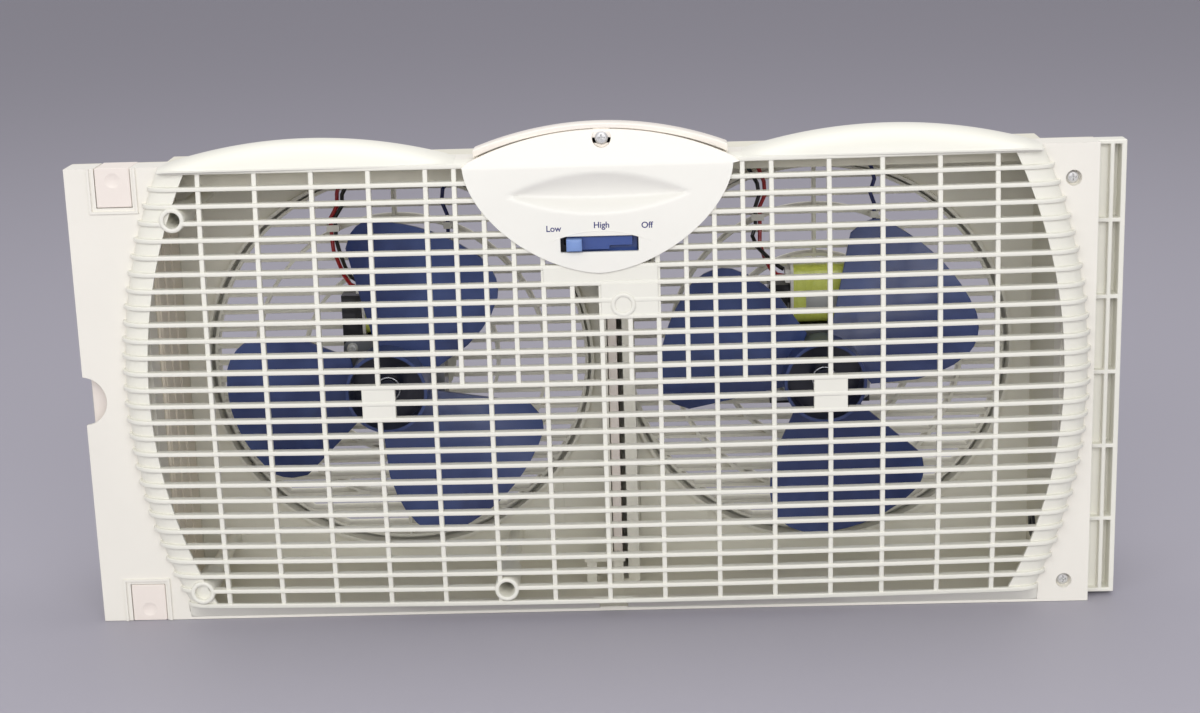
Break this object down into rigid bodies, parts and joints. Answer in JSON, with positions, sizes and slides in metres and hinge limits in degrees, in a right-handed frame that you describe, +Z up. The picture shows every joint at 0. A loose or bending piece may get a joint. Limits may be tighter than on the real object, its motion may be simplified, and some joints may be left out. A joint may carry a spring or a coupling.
{
  "type": "window fan",
  "caption": "Window fan with two bladed fans side by side, a domed front grille, a sliding speed switch and sliding window extenders.",
  "frame": {"origin": "middle of the footprint, on the sill", "axes": "+X to the right as seen from the room, +Y outdoors, +Z up"},
  "size_m": [0.5968, 0.13, 0.2892],
  "materials": {
    "grille_plastic": "satin moulded",
    "flange_plastic": "satin moulded",
    "panel_plastic": "smooth moulded",
    "housing_plastic": "satin moulded",
    "inner_plastic": "moulded",
    "beige_plastic": "moulded",
    "slider_plastic": "smooth",
    "switch_plastic": "moulded",
    "blade_plastic": "smooth",
    "zinc": "zinc plated",
    "spring_steel": "bright",
    "ground_steel": "ground",
    "bracket_steel": "pressed",
    "laminations": "varnished stack",
    "coil_tape": "taped",
    "bobbin_plastic": "moulded",
    "bronze": "sintered",
    "red_lead": "insulated wire",
    "black_lead": "insulated wire",
    "blue_lead": "insulated wire"
  },
  "bodies": {
    "case": {"front_grille": "grille_plastic", "front_frame": "flange_plastic", "control_panel": "panel_plastic", "crown_cap": "panel_plastic", "crown_screw": "zinc", "switch_body": "switch_plastic", "rear_housing": "housing_plastic", "orifice_plate": "inner_plastic", "rear_grille": "inner_plastic", "centre_divider": "inner_plastic", "divider_strip": "beige_plastic", "divider_bracket": "inner_plastic", "divider_screws": "zinc", "grille_screws": "zinc", "plate_screws": "zinc", "left_side_liner": "beige_plastic", "cord_inlet": "switch_plastic", "lead_clips": "bobbin_plastic", "left_stator": "laminations", "left_bobbin": "bobbin_plastic", "left_coil": "coil_tape", "left_front_bracket": "bracket_steel", "left_rear_bracket": "bracket_steel", "left_bushes": "bronze", "left_motor_screws": "zinc", "left_red_lead": "red_lead", "left_black_lead": "black_lead", "left_blue_lead": "blue_lead", "right_stator": "laminations", "right_bobbin": "bobbin_plastic", "right_coil": "coil_tape", "right_front_bracket": "bracket_steel", "right_rear_bracket": "bracket_steel", "right_bushes": "bronze", "right_motor_screws": "zinc", "right_red_lead": "red_lead", "right_black_lead": "black_lead", "right_blue_lead": "blue_lead"},
    "left_fan": {"left_blades": "blade_plastic", "left_hub_clip": "spring_steel", "left_shaft": "ground_steel", "left_rotor": "ground_steel"},
    "right_fan": {"right_blades": "blade_plastic", "right_hub_clip": "spring_steel", "right_shaft": "ground_steel", "right_rotor": "ground_steel"},
    "speed_knob": {"speed_slider": "slider_plastic"},
    "left_panel": {"left_extender": "beige_plastic"},
    "right_panel": {"right_extender": "grille_plastic"},
    "upper_lock": {"upper_lock_tab": "beige_plastic"},
    "lower_lock": {"lower_lock_tab": "beige_plastic"}
  },
  "joints": [
    {"name": "left_fan_spin", "type": "hinge", "parent": "case", "child": "left_fan", "pos_m": [-0.1256, -0.0064, 0.1314], "axis": [0, 1, 0], "continuous": true},
    {"name": "right_fan_spin", "type": "hinge", "parent": "case", "child": "right_fan", "pos_m": [0.1304, -0.0064, 0.1314], "axis": [0, 1, 0], "continuous": true},
    {"name": "speed_slide", "type": "slide", "parent": "case", "child": "speed_knob", "axis": [1, 0, 0], "range_m": [0, 0.028]},
    {"name": "left_extender_slide", "type": "slide", "parent": "case", "child": "left_panel", "axis": [-1, 0, 0], "range_m": [0, 0.022]},
    {"name": "right_extender_slide", "type": "slide", "parent": "case", "child": "right_panel", "axis": [1, 0, 0], "range_m": [0, 0.008]},
    {"name": "upper_lock_slide", "type": "slide", "parent": "case", "child": "upper_lock", "axis": [0, 0, 1], "range_m": [0, 0.005]},
    {"name": "lower_lock_slide", "type": "slide", "parent": "case", "child": "lower_lock", "axis": [0, 0, -1], "range_m": [0, 0.005]}
  ]
}
